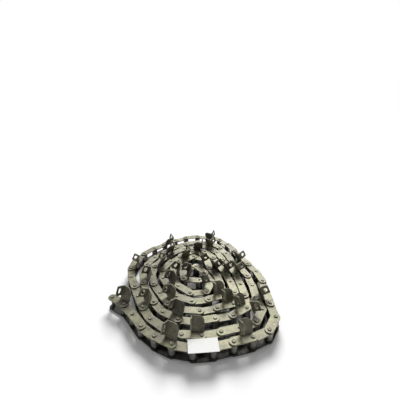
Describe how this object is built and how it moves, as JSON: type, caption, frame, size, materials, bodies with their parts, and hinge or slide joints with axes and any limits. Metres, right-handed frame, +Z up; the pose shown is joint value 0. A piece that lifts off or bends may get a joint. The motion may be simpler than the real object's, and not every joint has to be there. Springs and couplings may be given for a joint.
{
  "type": "roller chain",
  "caption": "Coiled roller chain with winged, slotted attachment plates on every second outer link; the loose end is made piece by piece and swings on its pins.",
  "frame": {"origin": "on the surface the coil lies on, under the middle of its bounding box", "axes": "+Z up along the pins, +Y towards the back of the coil, the loose end is at the front left (-X, -Y)"},
  "size_m": [0.402, 0.4744, 0.0687],
  "materials": {
    "plate": "oiled rolled steel with a faint olive tint",
    "coil": "oiled rolled steel with a faint olive tint",
    "roller": "ground steel",
    "pin": "ground steel, riveted ends",
    "bushing": "dark hardened steel",
    "label": "matt white"
  },
  "bodies": {
    "coil": {"coil_run_01": "coil", "coil_run_02": "coil", "coil_run_03": "coil", "coil_run_04": "coil", "coil_run_05": "coil", "coil_run_06": "coil", "coil_run_07": "coil", "coil_run_08": "coil", "coil_run_09": "coil", "coil_run_10": "coil", "coil_run_11": "coil", "coil_run_12": "coil", "coil_run_13": "coil", "coil_run_14": "coil", "coil_run_15": "coil", "coil_run_16": "coil", "coil_run_17": "coil", "coil_run_18": "coil", "coil_run_19": "coil", "coil_run_20": "coil", "coil_run_21": "coil", "coil_run_22": "coil", "coil_run_23": "coil", "coil_run_24": "coil", "coil_run_25": "coil", "coil_run_26": "coil", "coil_run_27": "coil", "coil_run_28": "coil", "paper_label": "label"},
    "inner_link_3": {"inner_link_3_upper_plate": "plate", "inner_link_3_lower_plate": "plate", "inner_link_3_bushing_a": "bushing", "inner_link_3_bushing_b": "bushing"},
    "outer_link_3": {"outer_link_3_upper_plate": "plate", "outer_link_3_lower_plate": "plate", "outer_link_3_pin_a": "pin", "outer_link_3_pin_b": "pin"},
    "inner_link_2": {"inner_link_2_upper_plate": "plate", "inner_link_2_lower_plate": "plate", "inner_link_2_bushing_a": "bushing", "inner_link_2_bushing_b": "bushing"},
    "outer_link_2": {"outer_link_2_upper_plate": "plate", "outer_link_2_lower_plate": "plate", "outer_link_2_pin_a": "pin", "outer_link_2_pin_b": "pin"},
    "inner_link_1": {"inner_link_1_upper_plate": "plate", "inner_link_1_lower_plate": "plate", "inner_link_1_bushing_a": "bushing", "inner_link_1_bushing_b": "bushing"},
    "outer_link_1": {"outer_link_1_upper_plate": "plate", "outer_link_1_lower_plate": "plate", "outer_link_1_pin_a": "pin", "outer_link_1_pin_b": "pin"},
    "inner_link_1_roller_a": {"inner_link_1_roller_a": "roller"},
    "inner_link_1_roller_b": {"inner_link_1_roller_b": "roller"},
    "inner_link_2_roller_a": {"inner_link_2_roller_a": "roller"},
    "inner_link_2_roller_b": {"inner_link_2_roller_b": "roller"},
    "inner_link_3_roller_a": {"inner_link_3_roller_a": "roller"},
    "inner_link_3_roller_b": {"inner_link_3_roller_b": "roller"}
  },
  "joints": [
    {"name": "inner_link_3_swing", "type": "hinge", "parent": "coil", "child": "inner_link_3", "pos_m": [0.00831, -0.22103, 0.0175], "axis": [0, 0, 1], "range_deg": [0, 45]},
    {"name": "outer_link_3_swing", "type": "hinge", "parent": "inner_link_3", "child": "outer_link_3", "pos_m": [-0.03228, -0.2129, 0.0175], "axis": [0, 0, 1], "range_deg": [0, 45]},
    {"name": "inner_link_2_swing", "type": "hinge", "parent": "outer_link_3", "child": "inner_link_2", "pos_m": [-0.06966, -0.1951, 0.0175], "axis": [0, 0, 1], "range_deg": [0, 45]},
    {"name": "outer_link_2_swing", "type": "hinge", "parent": "inner_link_2", "child": "outer_link_2", "pos_m": [-0.10193, -0.16916, 0.0175], "axis": [0, 0, 1], "range_deg": [0, 45]},
    {"name": "inner_link_1_swing", "type": "hinge", "parent": "outer_link_2", "child": "inner_link_1", "pos_m": [-0.12857, -0.13748, 0.0175], "axis": [0, 0, 1], "range_deg": [-8, 45]},
    {"name": "outer_link_1_swing", "type": "hinge", "parent": "inner_link_1", "child": "outer_link_1", "pos_m": [-0.15599, -0.10645, 0.0175], "axis": [0, 0, 1], "range_deg": [-30, 90]},
    {"name": "inner_link_1_roller_a_turn", "type": "hinge", "parent": "inner_link_1", "child": "inner_link_1_roller_a", "pos_m": [-0.15599, -0.10645, 0.0175], "axis": [0, 0, 1], "continuous": true},
    {"name": "inner_link_1_roller_b_turn", "type": "hinge", "parent": "inner_link_1", "child": "inner_link_1_roller_b", "pos_m": [-0.12857, -0.13748, 0.0175], "axis": [0, 0, 1], "continuous": true},
    {"name": "inner_link_2_roller_a_turn", "type": "hinge", "parent": "inner_link_2", "child": "inner_link_2_roller_a", "pos_m": [-0.10193, -0.16916, 0.0175], "axis": [0, 0, 1], "continuous": true},
    {"name": "inner_link_2_roller_b_turn", "type": "hinge", "parent": "inner_link_2", "child": "inner_link_2_roller_b", "pos_m": [-0.06966, -0.1951, 0.0175], "axis": [0, 0, 1], "continuous": true},
    {"name": "inner_link_3_roller_a_turn", "type": "hinge", "parent": "inner_link_3", "child": "inner_link_3_roller_a", "pos_m": [-0.03228, -0.2129, 0.0175], "axis": [0, 0, 1], "continuous": true},
    {"name": "inner_link_3_roller_b_turn", "type": "hinge", "parent": "inner_link_3", "child": "inner_link_3_roller_b", "pos_m": [0.00831, -0.22103, 0.0175], "axis": [0, 0, 1], "continuous": true}
  ]
}
